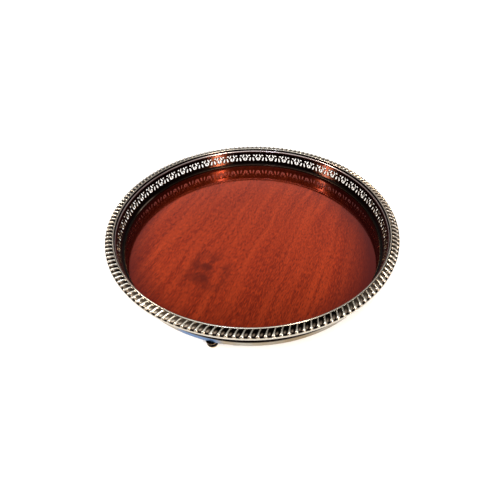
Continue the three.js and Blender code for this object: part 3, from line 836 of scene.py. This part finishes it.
def border_grid():
    """The border as a grid: columns round it, and rows round its section. A row's columns turn by
    its lean, so the grid follows the lobes. A low boss swells out of the middle of each gap between
    lobes. It also returns each point's darkness: tarnish and painted shade, less where painted light
    falls, and a brownish painted reflection on each boss."""
    gadroons = round(2 * math.pi * BORDER_OUTER / GADROON_PITCH)
    columns = gadroons * LOBE_COLUMNS
    inner, outer, seat, crest = BORDER_INNER, BORDER_OUTER, MOULDING_TOP, CREST_TOP
    angle = np.linspace(1.15 * np.pi, 0.08 * np.pi, 9)
    bead = np.stack([inner + BEAD_WIDTH / 2 * (1 + np.cos(angle)),
                     crest - BEAD_HEIGHT * (1 - np.sin(angle))], -1)
    t = np.linspace(0, 1, LOBE_ROWS)
    floor = np.stack([inner + BEAD_WIDTH + (outer - SHOULDER_WIDTH - inner - BEAD_WIDTH) * t,
                      seat + FLOOR_RISE - FLOOR_FALL * t + FLOOR_CROWN * np.sin(np.pi * t)], -1)
    lip = np.array([(outer - 0.15, seat - 0.75), (outer, seat - 1.4), (outer - 0.1, seat - 2.3),
                    (outer - 0.6, seat - 3.7), (outer - 1.35, seat - 4.9), (outer - 1.9, seat - 5.5),
                    (outer - 2.3, LIP_BOTTOM), (outer - 2.75, seat - 5.45), (outer - 2.6, seat - 5.0),
                    (outer - 1.8, seat - 3.7), (outer - 1.3, seat - 2.4), (outer - 1.6, seat - 1.75)])
    under = np.array([(outer - 3.5, seat - 1.25), (inner + 4, seat - 0.3), (inner + 1.5, seat),
                      (inner + 0.9, seat)])
    section = np.concatenate([bead, floor, lip, under])
    lean = GADROON_LEAN * np.concatenate([np.ones(len(bead)), (1 - t) ** 1.6, np.zeros(len(lip)),
                                          [0.2, 0.7, 0.95, 1]])
    column = np.arange(columns)[:, None]
    x = (column / LOBE_COLUMNS) % 1 - 0.5
    rises = lobe(x, t[None, :]) * np.clip(t / 0.08, 0, 1) * np.clip((1.06 - t) / 0.14, 0, 1)
    across, along = around(x, BOSS_PLACE[0]), t[None, :] - BOSS_PLACE[1]
    boss = np.exp(-(across / BOSS_SPREAD) ** 2 - (along / BOSS_SPREAD) ** 2)
    height = section[None, :, 1] + np.zeros((columns, 1))
    tops = slice(len(bead), len(bead) + LOBE_ROWS)
    height[:, tops] += LOBE_HEIGHT * rises + BOSS_HEIGHT * boss
    turn = (column / LOBE_COLUMNS + lean[None, :]) * 2 * math.pi / gadroons
    radius = section[None, :, 0] + 0 * turn
    degrees = np.degrees(turn[:, tops])
    # Painted light over three stretches of the gaps, and painted shade over one.
    painted_light = sum(worn * np.exp(-(360 * around(degrees / 360, place / 360) / spread) ** 2)
               for place, spread, worn in PAINTED_LIGHT_PLACES)
    tarnish_and_shade = np.zeros_like(height)
    # Tarnish and painted shade in the gaps, less on the lobes, and less on each boss, which carries a
    # brownish painted reflection.
    tarnish_and_shade[:, tops] = 1 - 1.5 * rises - (0.36 + 0.5 * painted_light) * boss - painted_light * (t[None, :] < 0.85)
    shaded = np.exp(-(360 * around(degrees / 360, SHADE_PLACE[0] / 360) / SHADE_PLACE[1]) ** 2)
    tarnish_and_shade[:, tops] = np.maximum(tarnish_and_shade[:, tops], SHADE_LEVEL * shaded)
    # Painted shade on the bead's inner side.
    tarnish_and_shade[:, :BEAD_DARK_ROWS] = BEAD_SHADE
    lip_start = len(bead) + LOBE_ROWS
    # The lip is dark with tarnish and painted shade under it, but for its bright top rows.
    tarnish_and_shade[:, lip_start:] = 1
    tarnish_and_shade[:, lip_start:lip_start + LIP_BRIGHT_ROWS] = LIP_TARNISH
    points = np.stack([radius * np.cos(turn), radius * np.sin(turn), height], -1)
    return points.reshape(-1, 3), ring_faces(columns, len(section))[:, ::-1], tarnish_and_shade.ravel()


border_points, border_faces, border_tarnish_and_shade = border_grid()
border = make_piece("gadroon_border_stamped", border_points, border_faces, 60)
store_values(border, "tarnish_and_shade", border_tarnish_and_shade)
finish_piece(border, silver_plate("rubbed_plate_border", "#b4b0a5", "#857565", "#080605", 0.3, 0.22),
             "border_plate", "gadroon_border")


# ---- The studio --------------------------------------------------------------------------------
# A pale seamless floor under a wide soft skylight, pale walls all round with a dimmer ceiling, two
# tall soft lamps and a short one. The camera looks down from the front with a wide lens.

SKYLIGHT = ((-0.05, -0.36, 0.93), 2.0, 72)  # where it comes from, its strength and its width in degrees
LAMP_DISTANCE = 1.3


def add_light(kind, name, towards, distance, settings):
    """A light at a distance along a direction from the tray's middle, facing it."""
    data = bpy.data.lights.new(name, kind)
    for key, value in settings.items():
        setattr(data, key, value)
    light = bpy.data.objects.new(name, data)
    direction = Vector(towards).normalized()
    light.location = direction * distance
    light.rotation_euler = direction.to_track_quat("Z", "Y").to_euler()
    bpy.context.scene.collection.objects.link(light)


add_light("SUN", "skylight", SKYLIGHT[0], 2, {"energy": SKYLIGHT[1], "angle": math.radians(SKYLIGHT[2])})
for name, towards, width, height, power, colour in (
        ("lamp_right", (0.437, -0.727, 0.53), 0.06, 1.0, 14, "#ffefdc"),
        ("lamp_left", (-0.835, -0.147, 0.53), 0.06, 1.0, 11, "#fff3e6"),
        ("lamp_front", (-0.241, -0.596, 0.766), 0.04, 0.3, 3, "#dfe8ff")):
    add_light("AREA", name, towards, LAMP_DISTANCE, {
        "shape": "RECTANGLE", "size": width, "size_y": height, "energy": power,
        "color": linear(colour)[:3]})


def pale_surround():
    """Soft light from all round, from pale walls and a dimmer ceiling: the ceiling's share grows with
    the sine of a direction's height over the floor."""
    world = bpy.data.worlds.new("pale_surround")
    world.use_nodes = True
    tree = world.node_tree
    tree.nodes.clear()
    direction = add_node(tree, "ShaderNodeTexCoord").outputs["Generated"]
    height = add_node(tree, "ShaderNodeSeparateXYZ", links={0: direction}).outputs["Z"]
    share = add_node(tree, "ShaderNodeMapRange", {1: 0.66, 2: 1.0, "interpolation_type": "SMOOTHSTEP"},
                     {0: height})
    walls_to_ceiling = {"data_type": "RGBA", 6: linear("#dad6d4"), 7: linear("#8a8785")}
    colour = add_node(tree, "ShaderNodeMix", walls_to_ceiling, {0: share})
    background = add_node(tree, "ShaderNodeBackground", {"Strength": 1.0}, {"Color": colour})
    add_node(tree, "ShaderNodeOutputWorld", links={"Surface": background})
    bpy.context.scene.world = world


pale_surround()

FLOOR_HALF = 3.0
corners = [(-FLOOR_HALF, -FLOOR_HALF, 0), (FLOOR_HALF, -FLOOR_HALF, 0), (FLOOR_HALF, FLOOR_HALF, 0),
           (-FLOOR_HALF, FLOOR_HALF, 0)]
floor_mesh = bpy.data.meshes.new("floor")
floor_mesh.from_pydata(corners, [], [(0, 1, 2, 3)])
floor = bpy.data.objects.new("floor", floor_mesh)
bpy.context.scene.collection.objects.link(floor)
paper, paper_tree = new_material("floor_paper")[:2]
matt_white = {"Base Color": linear("#f7f6f4"), "Roughness": 0.9}
paper_shader = add_node(paper_tree, "ShaderNodeBsdfPrincipled", matt_white)
add_node(paper_tree, "ShaderNodeOutputMaterial", links={"Surface": paper_shader})
floor_mesh.materials.append(paper)

CAMERA_BACK = 289.6
CAMERA_HEIGHT = 266.45
CAMERA_TILT = 45.87
CAMERA_YAW = 0.46
CAMERA_ROLL = -1.53
camera_data = bpy.data.cameras.new("camera")
camera_data.lens = 24.36
camera_data.sensor_width = 36
camera_data.clip_start = 0.01
camera = bpy.data.objects.new("camera", camera_data)
camera.matrix_world = (Matrix.Translation((0, -CAMERA_BACK * MM, CAMERA_HEIGHT * MM))
                       @ Matrix.Rotation(math.radians(CAMERA_YAW), 4, "Z")
                       @ Matrix.Rotation(math.radians(CAMERA_TILT), 4, "X")
                       @ Matrix.Rotation(math.radians(CAMERA_ROLL), 4, "Z"))
bpy.context.scene.collection.objects.link(camera)
bpy.context.scene.camera = camera
bpy.context.scene.view_settings.view_transform = "Standard"
